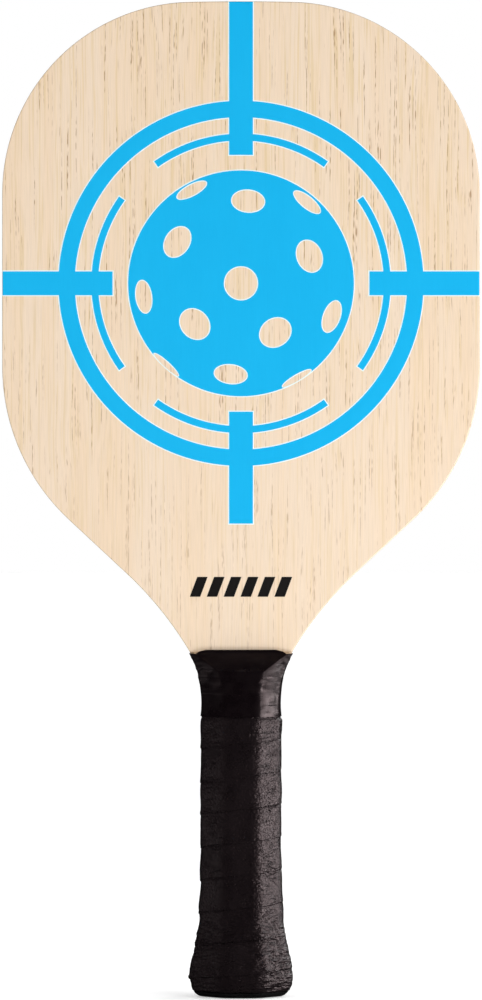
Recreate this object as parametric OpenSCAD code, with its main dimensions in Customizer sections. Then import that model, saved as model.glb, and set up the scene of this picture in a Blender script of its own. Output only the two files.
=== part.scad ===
// Wooden pickleball paddle: a seven-ply blade whose tongue runs down inside the handle,
// two shaped wooden scales glued to the tongue, a stapled butt cap, a wound cushion grip
// and finishing tape round the throat.
//
// Frame: origin at the centre of the butt's end face, +Z along the handle to the tip,
// +X across the face and -Y out of the front face.

/* [Blade] */
// Length from the butt's end to the tip
overall_len = 400; // [390:1:410]
// Width across the face
blade_w = 192; // [188:1:198]
// Thickness of one of the seven plies
ply_t = 1.4; // [1.2:0.1:1.5]
// Radius of the shallow arc along the top edge
tip_arc_r = 900; // [700:50:1500]
// Radius of the two top corners
top_corner_r = 77; // [70:1:82]
// Radius of the two lower corners
shoulder_r = 84; // [78:1:88]
// Angle between the straight shoulders and the handle
shoulder_angle = 47; // [45:1:49]

/* [Neck] */
// Height at which the neck starts to widen out of the handle
neck_z = 115; // [112:1:118]
// Radius of the neck's tight lower curve
neck_lower_r = 47; // [42:1:50]
// Turn of the tight lower curve
neck_lower_turn = 31; // [28:1:33]
// Radius of the neck's long upper curve
neck_upper_r = 142; // [135:1:150]

/* [Handle] */
// Width of the wooden handle under its grip
handle_w = 28.8; // [28:0.1:30]
// Thickness of the wooden handle under its grip
handle_t = 26.4; // [25:0.1:28]
// Width of the flat that is left between the bevels
handle_flat_w = 12; // [10:0.1:14]
// Height at which the scales start to ramp down to the blade
ramp_z = 130.5; // [128:0.5:132]
// Length of the ramp
ramp_len = 8; // [7:0.5:10]
// Thickness of each scale at the ramp's thin end
ramp_end_t = 1; // [0.8:0.1:1.5]

/* [Butt cap] */
// Thickness of the cap's closed end
cap_floor_t = 4; // [3:0.5:5]
// Height of the cap's skirt
cap_skirt_z = 32; // [28:1:34]
// How far the butt stands out past the handle all round
butt_flare = 4.6; // [4:0.1:5.5]
// Height at which the butt is widest
butt_widest_z = 8.5; // [8:0.5:10]
// How far the end face's edge lies inside the butt's widest outline
rim_inset = 5; // [4:0.1:5.5]
// Height of the bare lip below the grip's first turn
lip_h = 2.2; // [1.6:0.2:3.2]
// Thickness of the staples' square wire
staple_wire = 0.6; // [0.5:0.1:0.8]
// Width of a staple's crown
staple_w = 6; // [5:0.5:7]
// Length of a staple's legs
staple_leg = 8; // [6:0.5:9]

/* [Grip and tape] */
// Thickness of the wound grip
grip_t = 1.8; // [1.2:0.1:2]
// Height at which the tape's lower edge lies on the grip
tape_z = 112.5; // [110:0.5:114]
// Thickness of the finishing tape, all layers together
tape_t = 0.45; // [0.3:0.05:0.6]
// Height of the grip's tapered end under the tape
grip_top_z = 126; // [122:1:128]
// Thickness of the grip at its tapered end
grip_end_t = 0.4; // [0.3:0.1:0.8]

/* [Print] */
// Height of the target's centre
target_z = 286.6; // [280:0.2:292]
// Radius of the ball in the target's middle
ball_r = 45.4; // [40:0.2:48]
// Radius of a hole in the ball
ball_hole_r = 6.9; // [5:0.1:7.5]
// Outer radius of the target's broad ring
ring_r = 73.4; // [71:0.2:76]
// Width of the broad ring
ring_w = 6.6; // [4:0.2:8]
// Outer radius of the four thin arcs
arc_r = 60.2; // [58:0.2:61]
// Width of the thin arcs
arc_w = 2.8; // [2:0.2:4]
// Half of the angle that each thin arc spans
arc_half_angle = 35.5; // [20:0.5:40]
// Width of the four cross bars
bar_w = 9.6; // [6:0.2:12]
// Distance of the bars' inner ends from the centre
bar_start = 51.6; // [50:0.2:54]
// Distance of the lower bar's outer end from the centre
bar_end = 96.6; // [90:0.2:100]
// Thickness of the ink, which lies flush in the face
ink_t = 0.1; // [0.05:0.05:0.2]
// Height of the stripes printed on the neck
stripes_z = 164.6; // [160:0.2:170]

/* [Hidden] */
$fn = 96;

face_wood = [0.94, 0.86, 0.74];
long_wood = [0.90, 0.80, 0.65];
cross_wood = [0.80, 0.67, 0.50];
ink_black = [0.12, 0.11, 0.11];
grip_black = [0.12, 0.10, 0.10];
tape_black = [0.05, 0.05, 0.05];
ply_count = 7;
half_t = ply_count * ply_t / 2;
// Clearances: between wound layers, round the wood in its cap, in a glued joint and
// round a staple
layer_gap = 0.05;
cap_gap = 0.1;
glue_gap = 0.001;
slot_gap = 0.02;
staple_heights = [14, 24];
tongue_x = handle_w / 2;
tongue_z = cap_floor_t + cap_gap;
// Rounding of the corners: on the outside of what is wound on, on the tape, and on whatever
// lies close against the wood's sharp corners
wound_r = 2.2;
tape_r = 1.6;
snug_r = 0.2;
// Steps of the polygons: degrees along an arc, and millimetres between cross-sections
arc_step = 3;
section_step = 2;

// ---- Outline of the blade, worked out from tangent arcs on its right-hand side ----

function steps(from, to, by) =
    let (n = max(1, ceil(abs(to - from) / by)))
    [for (i = [0:n]) from + (to - from) * i / n];

neck_lower_c = [tongue_x + neck_lower_r, neck_z];
neck_upper_c = neck_lower_c
    + (neck_upper_r - neck_lower_r) * [cos(neck_lower_turn), -sin(neck_lower_turn)];
shoulder_start = neck_upper_c + neck_upper_r * [-cos(shoulder_angle), sin(shoulder_angle)];
shoulder_cx = blade_w / 2 - shoulder_r;
shoulder_end_x = shoulder_cx + shoulder_r * cos(shoulder_angle);
shoulder_end_z = shoulder_start[1]
    + (shoulder_end_x - shoulder_start[0]) / tan(shoulder_angle);
shoulder_c = [shoulder_cx, shoulder_end_z + shoulder_r * sin(shoulder_angle)];
tip_c = [0, overall_len - tip_arc_r];
corner_cx = blade_w / 2 - top_corner_r;
corner_c = [corner_cx,
    tip_c[1] + sqrt(pow(tip_arc_r - top_corner_r, 2) - pow(corner_cx, 2))];
corner_turn = atan2(corner_c[1] - tip_c[1], corner_cx);

right_side = concat(
    [[tongue_x, tongue_z]],
    [for (t = steps(0, neck_lower_turn, arc_step))
        neck_lower_c + neck_lower_r * [-cos(t), sin(t)]],
    [for (t = steps(neck_lower_turn, shoulder_angle, arc_step))
        if (t > neck_lower_turn) neck_upper_c + neck_upper_r * [-cos(t), sin(t)]],
    [for (t = steps(shoulder_angle, 0, arc_step))
        shoulder_c + shoulder_r * [cos(t), -sin(t)]],
    [for (t = steps(0, corner_turn, arc_step))
        corner_c + top_corner_r * [cos(t), sin(t)]],
    [for (t = steps(corner_turn, 90, 1))
        if (t > corner_turn) tip_c + tip_arc_r * [cos(t), sin(t)]]
);
last_side = len(right_side) - 1;
outline = concat(right_side,
    [for (i = [last_side - 1:-1:0]) [-right_side[i][0], right_side[i][1]]]);

// Half the width of the wood at a height in the neck, up to the straight shoulder
function neck_half_w(z) =
    z <= neck_z ? tongue_x
    : z <= neck_z + neck_lower_r * sin(neck_lower_turn)
        ? neck_lower_c[0] - sqrt(pow(neck_lower_r, 2) - pow(z - neck_lower_c[1], 2))
        : neck_upper_c[0] - sqrt(pow(neck_upper_r, 2) - pow(z - neck_upper_c[1], 2));

// ---- Cross-sections of the handle and what is wound on it ----

bevel_w = (handle_w - handle_flat_w) / 2;
bevel_t = handle_t / 2 - half_t;
bevel_angle = atan2(bevel_t, bevel_w);
ramp_top_z = ramp_z + ramp_len;
min_flat = 1;

// Half the thickness of the wooden handle at a height: full, then down the ramp
function core_half_t(z) =
    lookup(z, [[ramp_z, handle_t / 2], [ramp_top_z, half_t + ramp_end_t]]);

function core_flat_x(z) =
    neck_half_w(z) - bevel_w * (core_half_t(z) - half_t) / bevel_t;

function smooth(t) = let (u = min(1, max(0, t))) u * u * (3 - 2 * u);

// How far the butt's outer surface stands out past the straight handle at a height: a slight
// bulge over the skirt's edge, then the nearly straight flare, then in again round the end's
// rounded rim
skirt_bulge = 0.6;
bulge_top_z = cap_skirt_z + 14;
bulge_run = 12;
flare_top_z = cap_skirt_z - 2;
flare_ease = 0.25;
function flare_share(t) = (1 - flare_ease) * min(1, max(0, t)) + flare_ease * smooth(t);
function flare(z) =
    z >= butt_widest_z
    ? skirt_bulge * smooth((bulge_top_z - z) / bulge_run) + (butt_flare - skirt_bulge)
        * flare_share((flare_top_z - z) / (flare_top_z - butt_widest_z))
    : butt_flare - rim_inset * (1 - sqrt(1 - pow((butt_widest_z - z) / butt_widest_z, 2)));

// The eight corners of the handle's octagon at a height, with every side moved outwards by
// the same distance
function octagon(z, grow) =
    let (a = neck_half_w(z) + grow,
        b = core_half_t(z) + grow,
        f = max(min_flat, core_flat_x(z) + grow * tan(bevel_angle / 2)),
        s = half_t + grow * tan(45 - bevel_angle / 2))
    [[a, -s], [a, s], [f, b], [-f, b], [-a, s], [-a, -s], [-f, -b], [f, -b]];

// A polygon with three points of a parabola in place of each corner. It starts r away from
// the corner, or a little short of the side's middle.
function softened(points, r) =
    let (n = len(points), most = 0.45, parabola_mid = 0.25)
    [for (i = [0:n - 1])
        let (p = points[i],
            before = points[(i + n - 1) % n] - p,
            after = points[(i + 1) % n] - p,
            u = before / norm(before) * min(r, norm(before) * most),
            v = after / norm(after) * min(r, norm(after) * most))
        each [p + u, p + (u + v) * parabola_mid, p + v]];

function at_height(points, z) = [for (p = points) [p[0], p[1], z]];

// Triangles between stacked rings of n points each, from ring a to ring b
function band(a, b, n) =
    [for (i = [0:n - 1])
        let (j = (i + 1) % n)
        each [[a * n + i, b * n + i, b * n + j], [a * n + i, b * n + j, a * n + j]]];

// A solid lofted through rings, closed by its first and last ring
module loft(rings) {
    n = len(rings[0]);
    m = len(rings);
    polyhedron(
        points = [for (ring = rings) each ring],
        faces = concat(
            [[for (i = [0:n - 1]) i]],
            [for (k = [0:m - 2]) each band(k, k + 1, n)],
            [[for (i = [n - 1:-1:0]) (m - 1) * n + i]])
    );
}

// A sleeve lofted up through its outer rings and back down through its inner ones
module sleeve(outer, inner) {
    n = len(outer[0]);
    rings = concat(outer, [for (k = [len(inner) - 1:-1:0]) inner[k]]);
    m = len(rings);
    polyhedron(
        points = [for (ring = rings) each ring],
        faces = [for (k = [0:m - 1]) each band(k, (k + 1) % m, n)]
    );
}

// ---- Plies ----

// A flat shape drawn in X and Z, made into a board from y to y + t
module board(y, t) {
    translate([0, y + t, 0])
        rotate([90, 0, 0])
            linear_extrude(t)
                children();
}

module blade_outline() {
    polygon(outline);
}

module ply(index) {
    board(-half_t + (index - 1) * ply_t, ply_t)
        blade_outline();
}

module face_ply(index, side) {
    difference() {
        ply(index);
        ink(side) target_shape();
        ink(side) stripes_shape();
    }
}

// ---- Print, with side -1 for the front and 1 for the back, which reads the same way ----

module ink(side) {
    board(side < 0 ? -half_t : half_t - ink_t, ink_t)
        mirror([side < 0 ? 0 : 1, 0])
            children();
}

module arc_band(r, w, middle) {
    reach = r * 2;
    intersection() {
        difference() {
            circle(r);
            circle(r - w);
        }
        polygon([
            [0, 0],
            reach * [cos(middle - arc_half_angle), sin(middle - arc_half_angle)],
            reach * [cos(middle), sin(middle)],
            reach * [cos(middle + arc_half_angle), sin(middle + arc_half_angle)]
        ]);
    }
}

// A round hole on a sphere seen from the front: tilt is its angle from the line of sight
module ball_hole(tilt, turn) {
    centre = ball_r * sin(tilt);
    long = ball_hole_r;
    short = ball_hole_r * cos(tilt);
    points = [for (t = [0:15:345]) [centre + short * cos(t), long * sin(t)]];
    rotate(turn)
        polygon(points);
}

// A ball drilled with a hole at its pole and rings of five holes round that, turned a
// little towards the top
module ball_shape() {
    holes = 5;
    ring_tilts = [39, 62, 84];
    lean = 8;
    hidden_tilt = 80;
    difference() {
        circle(ball_r);
        circle(ball_hole_r);
        for (ring = [0:len(ring_tilts) - 1], i = [0:holes - 1]) {
            place = 84 + (i + ring / 2) * 360 / holes;
            tilt = ring_tilts[ring] + lean * sin(place);
            turn = place + lean * cos(place) / tan(ring_tilts[ring]);
            if (tilt < hidden_tilt) ball_hole(tilt, turn);
        }
    }
}

module target_shape() {
    intersection() {
        blade_outline();
        translate([0, target_z]) {
            ball_shape();
            difference() {
                circle(ring_r);
                circle(ring_r - ring_w);
            }
            for (middle = [0:90:270])
                arc_band(arc_r, arc_w, middle);
            translate([-blade_w, -bar_w / 2])
                square([blade_w - bar_start, bar_w]);
            translate([bar_start, -bar_w / 2])
                square([blade_w - bar_start, bar_w]);
            translate([-bar_w / 2, bar_start])
                square([bar_w, overall_len - target_z]);
            translate([-bar_w / 2, -bar_end])
                square([bar_w, bar_end - bar_start]);
        }
    }
}

module stripes_shape() {
    count = 6;
    pitch = 6.8;
    stripe_w = 4.2;
    stripe_h = 8;
    slant = 3;
    for (i = [0:count - 1])
        translate([(i - (count - 1) / 2) * pitch, stripes_z])
            polygon([
                [-stripe_w / 2 - slant / 2, -stripe_h / 2],
                [stripe_w / 2 - slant / 2, -stripe_h / 2],
                [stripe_w / 2 + slant / 2, stripe_h / 2],
                [-stripe_w / 2 + slant / 2, stripe_h / 2]
            ]);
}

// ---- Handle ----

// One scale: glued to the tongue's face, bevelled along its edges, ramped at its top
module scale_blank(side) {
    heights = concat([tongue_z], steps(neck_z, ramp_z, section_step),
        [for (z = steps(ramp_z, ramp_top_z, section_step)) if (z > ramp_z) z]);
    rings = [for (z = heights)
        let (a = neck_half_w(z), b = core_half_t(z), f = core_flat_x(z), g = half_t + glue_gap)
        at_height(side < 0
            ? [[-a, -g], [-f, -b], [f, -b], [a, -g]]
            : [[a, g], [f, b], [-f, b], [-a, g]], z)];
    loft(rings);
}

module handle_scale(side) {
    difference() {
        scale_blank(side);
        staple_slots();
    }
}

// ---- Butt cap and its staples ----

// A cup: up its outside from the end face, over the skirt's edge and down its inside. The
// grip lies on the skirt, and the lip below it stands out as far as the grip.
module butt_cap_shell() {
    step_h = 0.01;
    lip_heights = [for (share = [0, 0.15, 0.35, 0.65, 1]) share * lip_h];
    skirt_heights = concat([lip_h + step_h], steps(4, cap_skirt_z, section_step));
    loft(concat(
        [for (z = lip_heights)
            at_height(softened(octagon(z, grip_t + flare(z)), wound_r), z)],
        [for (z = skirt_heights)
            at_height(softened(octagon(z, flare(z) - layer_gap), wound_r), z)],
        [for (z = [cap_skirt_z, cap_floor_t])
            at_height(softened(octagon(z, cap_gap), snug_r), z)]
    ));
}

// A staple driven in at a height: its crown is sunk level with the cap's surface
module staple(z, side) {
    crown_y = handle_t / 2 + flare(z + staple_wire / 2) - layer_gap;
    rotate([0, 0, side < 0 ? 0 : 180])
        translate([0, -crown_y, z - staple_wire / 2]) {
            translate([-staple_w / 2, 0, 0])
                cube([staple_w, staple_wire, staple_wire]);
            for (x = [-staple_w / 2, staple_w / 2 - staple_wire])
                translate([x, 0, 0])
                    cube([staple_wire, staple_leg, staple_wire]);
        }
}

// The slot that a staple lies in, open at the cap's surface
module staple_slot(z, side) {
    crown_y = handle_t / 2 + flare(z + staple_wire / 2) - layer_gap;
    slot = staple_wire + 2 * slot_gap;
    open = 1;
    rotate([0, 0, side < 0 ? 0 : 180])
        translate([0, -crown_y, z - slot / 2]) {
            translate([-staple_w / 2 - slot_gap, -open, 0])
                cube([staple_w + 2 * slot_gap, open + staple_wire + slot_gap, slot]);
            for (x = [-staple_w / 2, staple_w / 2 - staple_wire])
                translate([x - slot_gap, 0, 0])
                    cube([slot, staple_leg + slot_gap, slot]);
        }
}

module staple_slots() {
    for (side = [-1, 1], z = staple_heights)
        staple_slot(z, side);
}

module staples() {
    for (side = [-1, 1], z = staple_heights)
        staple(z, side);
}

// ---- Grip and tape ----

// Thickness of the grip at a height: whole, pressed flat under the tape, then cut thin
press_run = 1.5;
function grip_thickness(z) =
    lookup(z, [[tape_z - press_run, grip_t], [tape_z, grip_t - tape_t],
        [grip_top_z, grip_end_t]]);

module grip_sleeve() {
    step_h = 0.05;
    bottom_z = lip_h + step_h;
    skirt_top = cap_skirt_z + 4 * step_h;
    middle_z = (bulge_top_z + tape_z) / 2;
    top_heights = steps(tape_z - press_run, grip_top_z, section_step);
    outer_heights = concat([bottom_z], steps(4, bulge_top_z, section_step), [middle_z],
        top_heights);
    inner_heights = concat([bottom_z], steps(4, cap_skirt_z, section_step),
        [skirt_top, skirt_top + step_h, middle_z], top_heights);
    sleeve(
        [for (z = outer_heights)
            at_height(softened(octagon(z, grip_thickness(z) + flare(z)), wound_r), z)],
        [for (z = inner_heights)
            at_height(z <= skirt_top
                ? softened(octagon(z, flare(z)), wound_r)
                : softened(octagon(z, layer_gap), snug_r), z)]
    );
}

// How far the tape's inner side stands out past the wood: over the grip's tapered end, then
// down onto the wood
function under_tape(z) =
    z <= grip_top_z ? grip_thickness(z) + layer_gap
    : lookup(z, [[grip_top_z, grip_end_t + layer_gap], [ramp_z, layer_gap]]);

module tape_sleeve() {
    past_ramp = 0.2;
    overhang = 0.8;
    heights = concat(
        steps(tape_z, grip_top_z, section_step),
        [for (z = steps(grip_top_z, ramp_z, section_step)) if (z > grip_top_z) z],
        [for (z = steps(ramp_z, ramp_top_z, section_step)) if (z > ramp_z) z],
        [ramp_top_z + past_ramp, ramp_top_z + overhang]);
    sleeve(
        [for (z = heights)
            at_height(softened(octagon(z, under_tape(z) + tape_t), tape_r), z)],
        [for (z = heights)
            at_height(softened(octagon(z, under_tape(z)), z <= grip_top_z ? tape_r : snug_r), z)]
    );
}

// ---- Nodes ----

module ply_1_front_face() { color(face_wood) face_ply(1, -1); }
module ply_2_cross() { color(cross_wood) ply(2); }
module ply_3_long() { color(long_wood) ply(3); }
module ply_4_core() { color(cross_wood) ply(4); }
module ply_5_long() { color(long_wood) ply(5); }
module ply_6_cross() { color(cross_wood) ply(6); }
module ply_7_back_face() { color(face_wood) face_ply(7, 1); }
module front_target_print() { color("deepskyblue") ink(-1) target_shape(); }
module front_neck_print() { color(ink_black) ink(-1) stripes_shape(); }
module back_target_print() { color("deepskyblue") ink(1) target_shape(); }
module back_neck_print() { color(ink_black) ink(1) stripes_shape(); }
module handle_scale_front() { color(long_wood) handle_scale(-1); }
module handle_scale_back() { color(long_wood) handle_scale(1); }
module butt_cap() {
    color(grip_black)
        difference() {
            butt_cap_shell();
            staple_slots();
        }
}
module butt_cap_staples() { color("silver") staples(); }
module grip_wrap() { color(grip_black) grip_sleeve(); }
module finishing_tape() { color(tape_black) tape_sleeve(); }

ply_1_front_face();
ply_2_cross();
ply_3_long();
ply_4_core();
ply_5_long();
ply_6_cross();
ply_7_back_face();
front_target_print();
front_neck_print();
back_target_print();
back_neck_print();
handle_scale_front();
handle_scale_back();
butt_cap();
butt_cap_staples();
grip_wrap();
finishing_tape();
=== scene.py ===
import math

import bpy
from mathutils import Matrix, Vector, noise
from mathutils.geometry import delaunay_2d_cdt


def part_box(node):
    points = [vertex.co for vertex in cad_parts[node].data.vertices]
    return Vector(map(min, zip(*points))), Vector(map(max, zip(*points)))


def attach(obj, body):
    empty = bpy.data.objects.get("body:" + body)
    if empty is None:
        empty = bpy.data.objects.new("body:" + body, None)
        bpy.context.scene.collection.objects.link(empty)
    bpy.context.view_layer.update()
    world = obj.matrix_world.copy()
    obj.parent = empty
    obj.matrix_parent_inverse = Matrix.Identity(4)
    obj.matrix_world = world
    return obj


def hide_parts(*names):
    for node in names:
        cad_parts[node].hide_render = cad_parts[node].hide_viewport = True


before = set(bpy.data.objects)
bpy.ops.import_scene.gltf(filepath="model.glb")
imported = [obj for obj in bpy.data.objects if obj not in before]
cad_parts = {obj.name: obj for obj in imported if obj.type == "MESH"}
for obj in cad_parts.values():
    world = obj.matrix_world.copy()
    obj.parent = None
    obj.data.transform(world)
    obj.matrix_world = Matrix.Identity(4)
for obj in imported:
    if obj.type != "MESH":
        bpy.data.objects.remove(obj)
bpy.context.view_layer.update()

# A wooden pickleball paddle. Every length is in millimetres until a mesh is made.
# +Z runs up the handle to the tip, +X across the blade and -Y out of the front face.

MM = 0.001


def node_box(node):
    low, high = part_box(node)
    return low / MM, high / MM


# ---- Sizes from the frame ----

core_low, core_high = node_box("ply_4_core")
scale_low, scale_high = node_box("handle_scale_front")
_, cap_high = node_box("butt_cap")
grip_low, grip_high = node_box("grip_wrap")
tape_low, tape_high = node_box("finishing_tape")

TIP_Z = core_high.z
BLADE_HALF_W = core_high.x
TONGUE_Z = core_low.z
PLY_T = core_high.y - core_low.y
PLY_COUNT = 7
HALF_T = PLY_COUNT * PLY_T / 2
HANDLE_HALF_T = -scale_low.y
RAMP_TOP_Z = scale_high.z
CAP_SKIRT_Z = cap_high.z
GRIP_BOTTOM_Z = grip_low.z
GRIP_TOP_Z = grip_high.z
TAPE_BOTTOM_Z = tape_low.z
TAPE_TOP_Z = tape_high.z

# ---- Sizes that the frame's boxes don't show ----

TIP_ARC_R = 900
TOP_CORNER_R = 77
SHOULDER_R = 84
SHOULDER_ANGLE = math.radians(47)
TONGUE_HALF_W = 14.4
NECK_Z = 115
NECK_LOWER_R = 47
NECK_LOWER_TURN = math.radians(31)
NECK_UPPER_R = 142
HANDLE_FLAT_HALF_W = 6.0
RAMP_Z = RAMP_TOP_Z - 8
RAMP_END_T = 1
BUTT_FLARE = 4.6
BUTT_WIDEST_Z = 8.5
RIM_INSET = 5
CAP_FLOOR_T = 4
CAP_GAP = 0.1
GRIP_T = 1.8
GRIP_END_T = 0.4
TAPE_T = 0.45
PRESS_RUN = 1.5
LAYER_GAP = 0.05

TARGET_Z = 286.6
BALL_R = 45.4
BALL_HOLE_R = 6.9
RING_R = 73.4
RING_W = 6.6
ARC_R = 60.2
ARC_W = 2.8
ARC_HALF_ANGLE = math.radians(35.5)
BAR_HALF_W = 4.8
BAR_START = 51.6
BAR_END = 96.6
STRIPES_Z = 164.6
# The pale undercoat shows as a thin line round the blue ink
UNDERCOAT_W = 0.4


# ---- Small maths ----

def smooth(t):
    u = min(1.0, max(0.0, t))
    return u * u * (3 - 2 * u)


def spread(start, end, step):
    """Evenly spaced values from start to end, no further apart than step"""
    count = max(1, math.ceil(abs(end - start) / step))
    return [start + (end - start) * i / count for i in range(count + 1)]


def lookup(value, table):
    """Straight-line interpolation in a table of (value, result) pairs"""
    if value <= table[0][0]:
        return table[0][1]
    for (a, at_a), (b, at_b) in zip(table, table[1:]):
        if value <= b:
            return at_a + (at_b - at_a) * (value - a) / (b - a)
    return table[-1][1]


# ---- Outline of the blade: tangent arcs, each point with its outward normal ----

def blade_outline():
    lower_c = (TONGUE_HALF_W + NECK_LOWER_R, NECK_Z)
    reach = NECK_UPPER_R - NECK_LOWER_R
    upper_c = (lower_c[0] + reach * math.cos(NECK_LOWER_TURN),
               lower_c[1] - reach * math.sin(NECK_LOWER_TURN))
    start = (upper_c[0] - NECK_UPPER_R * math.cos(SHOULDER_ANGLE),
             upper_c[1] + NECK_UPPER_R * math.sin(SHOULDER_ANGLE))
    shoulder_x = BLADE_HALF_W - SHOULDER_R
    end_x = shoulder_x + SHOULDER_R * math.cos(SHOULDER_ANGLE)
    end_z = start[1] + (end_x - start[0]) / math.tan(SHOULDER_ANGLE)
    shoulder_z = end_z + SHOULDER_R * math.sin(SHOULDER_ANGLE)
    corner_x = BLADE_HALF_W - TOP_CORNER_R
    tip_c = TIP_Z - TIP_ARC_R
    corner_z = tip_c + math.sqrt((TIP_ARC_R - TOP_CORNER_R) ** 2 - corner_x ** 2)
    corner_turn = math.atan2(corner_z - tip_c, corner_x)
    step = math.radians(1.5)

    def hollow(centre, r, t):
        n = (math.cos(t), -math.sin(t))
        return (centre[0] - r * n[0], centre[1] - r * n[1], *n)

    def round_(centre, r, t):
        n = (math.cos(t), math.sin(t))
        return (centre[0] + r * n[0], centre[1] + r * n[1], *n)

    side = [(TONGUE_HALF_W, TONGUE_Z, 1.0, 0.0)]
    side += [hollow(lower_c, NECK_LOWER_R, t) for t in spread(0, NECK_LOWER_TURN, step)]
    side += [hollow(upper_c, NECK_UPPER_R, t)
             for t in spread(NECK_LOWER_TURN, SHOULDER_ANGLE, step)[1:]]
    side += [round_((shoulder_x, shoulder_z), SHOULDER_R, t)
             for t in spread(-SHOULDER_ANGLE, 0, step)]
    for edge in (-BAR_HALF_W - UNDERCOAT_W, -BAR_HALF_W, BAR_HALF_W, BAR_HALF_W + UNDERCOAT_W):
        side.append((BLADE_HALF_W, TARGET_Z + edge, 1.0, 0.0))
    side += [round_((corner_x, corner_z), TOP_CORNER_R, t)
             for t in spread(0, corner_turn, step)]
    bar_edges = [math.acos(x / TIP_ARC_R) for x in (BAR_HALF_W + UNDERCOAT_W, BAR_HALF_W)]
    tip_turns = spread(corner_turn, bar_edges[0], math.radians(0.4)) + [bar_edges[1], math.pi / 2]
    side += [round_((0, tip_c), TIP_ARC_R, t) for t in tip_turns[1:]]
    return side + [(-x, z, -nx, nz) for x, z, nx, nz in reversed(side[:-1])]


OUTLINE = blade_outline()


def inset(d):
    """The outline moved inwards by d, as (x, z) points"""
    return [(x - d * nx, z - d * nz) for x, z, nx, nz in OUTLINE]


def neck_half_w(z):
    """Half the width of the wood at a height in the neck, up to the straight shoulder"""
    if z <= NECK_Z:
        return TONGUE_HALF_W
    lower_x = TONGUE_HALF_W + NECK_LOWER_R
    if z <= NECK_Z + NECK_LOWER_R * math.sin(NECK_LOWER_TURN):
        return lower_x - math.sqrt(NECK_LOWER_R ** 2 - (z - NECK_Z) ** 2)
    reach = NECK_UPPER_R - NECK_LOWER_R
    upper_x = lower_x + reach * math.cos(NECK_LOWER_TURN)
    upper_z = NECK_Z - reach * math.sin(NECK_LOWER_TURN)
    return upper_x - math.sqrt(NECK_UPPER_R ** 2 - (z - upper_z) ** 2)


# ---- Cross-sections of the handle ----

BEVEL_W = TONGUE_HALF_W - HANDLE_FLAT_HALF_W
BEVEL_T = HANDLE_HALF_T - HALF_T
BEVEL_ANGLE = math.atan2(BEVEL_T, BEVEL_W)
SKIRT_BULGE = 0.6
BULGE_TOP_Z = CAP_SKIRT_Z + 14
BULGE_RUN = 12
FLARE_TOP_Z = CAP_SKIRT_Z - 2
FLARE_EASE = 0.25
# The handle is straight at this height
STRAIGHT_Z = 80
# Corner radii: of the bare handle, of the cap's skirt under the grip, and of the wound grip
BARE_R = 0.5
SKIRT_R = 4.5
WOUND_R = 7.0
# Half the least width of the handle's front and back flats
LEAST_FLAT_HALF_W = 1.0
# A rounded corner takes up at most this share of the sides that meet there
CORNER_SHARE = 0.45


def core_half_t(z):
    return lookup(z, [(RAMP_Z, HANDLE_HALF_T), (RAMP_TOP_Z, HALF_T + RAMP_END_T)])


def flare(z):
    """How far the butt stands out past the straight handle"""
    if z < BUTT_WIDEST_Z:
        t = (BUTT_WIDEST_Z - z) / BUTT_WIDEST_Z
        return BUTT_FLARE - RIM_INSET * (1 - math.sqrt(1 - t * t))
    bulge = SKIRT_BULGE * smooth((BULGE_TOP_Z - z) / BULGE_RUN)
    t = (FLARE_TOP_Z - z) / (FLARE_TOP_Z - BUTT_WIDEST_Z)
    rise = (1 - FLARE_EASE) * min(1.0, max(0.0, t)) + FLARE_EASE * smooth(t)
    return bulge + (BUTT_FLARE - SKIRT_BULGE) * rise


def octagon(z, grow):
    """The handle's eight corners at a height, every side moved outwards by grow"""
    a = neck_half_w(z) + grow
    b = core_half_t(z) + grow
    flat = neck_half_w(z) - BEVEL_W * (core_half_t(z) - HALF_T) / BEVEL_T
    f = max(LEAST_FLAT_HALF_W, flat + grow * math.tan(BEVEL_ANGLE / 2))
    s = HALF_T + grow * math.tan(math.pi / 4 - BEVEL_ANGLE / 2)
    return [(a, -s), (a, s), (f, b), (-f, b), (-a, s), (-a, -s), (-f, -b), (f, -b)]


ARC_PARTS = 8
SIDE_PARTS = 14
# A column of a wound surface: its corner, whether it lies on the side after the corner's
# arc, and how far along that arc or side
COLUMNS = [column for corner in range(8)
           for column in [(corner, False, j / ARC_PARTS) for j in range(ARC_PARTS + 1)]
           + [(corner, True, j / SIDE_PARTS) for j in range(1, SIDE_PARTS)]]


def corner_arc(points, i, r):
    """Centre, radius, first normal and turn of the arc that rounds corner i"""
    px, py = points[i]
    bx, by = points[i - 1]
    ax, ay = points[(i + 1) % 8]
    before = math.hypot(px - bx, py - by)
    after = math.hypot(ax - px, ay - py)
    d1 = ((px - bx) / before, (py - by) / before)
    d2 = ((ax - px) / after, (ay - py) / after)
    turn = math.atan2(d1[0] * d2[1] - d1[1] * d2[0], d1[0] * d2[0] + d1[1] * d2[1])
    back = min(r * math.tan(turn / 2), CORNER_SHARE * before, CORNER_SHARE * after)
    radius = back / math.tan(turn / 2)
    n1 = (d1[1], -d1[0])
    centre = (px - d1[0] * back - n1[0] * radius, py - d1[1] * back - n1[1] * radius)
    return centre, radius, n1, turn


def arc_point(arc, t):
    (cx, cy), radius, (nx, ny), turn = arc
    c, s = math.cos(turn * t), math.sin(turn * t)
    nx, ny = nx * c - ny * s, nx * s + ny * c
    return cx + radius * nx, cy + radius * ny, nx, ny


def on_section(z, grow, r, column):
    """A point of the rounded octagon at a height, and its outward normal"""
    corner, on_side, t = column
    points = octagon(z, grow)
    if not on_side:
        return arc_point(corner_arc(points, corner, r), t)
    x1, y1, nx, ny = arc_point(corner_arc(points, corner, r), 1)
    x2, y2, _, _ = arc_point(corner_arc(points, (corner + 1) % 8, r), 0)
    return x1 + (x2 - x1) * t, y1 + (y2 - y1) * t, nx, ny


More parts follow.
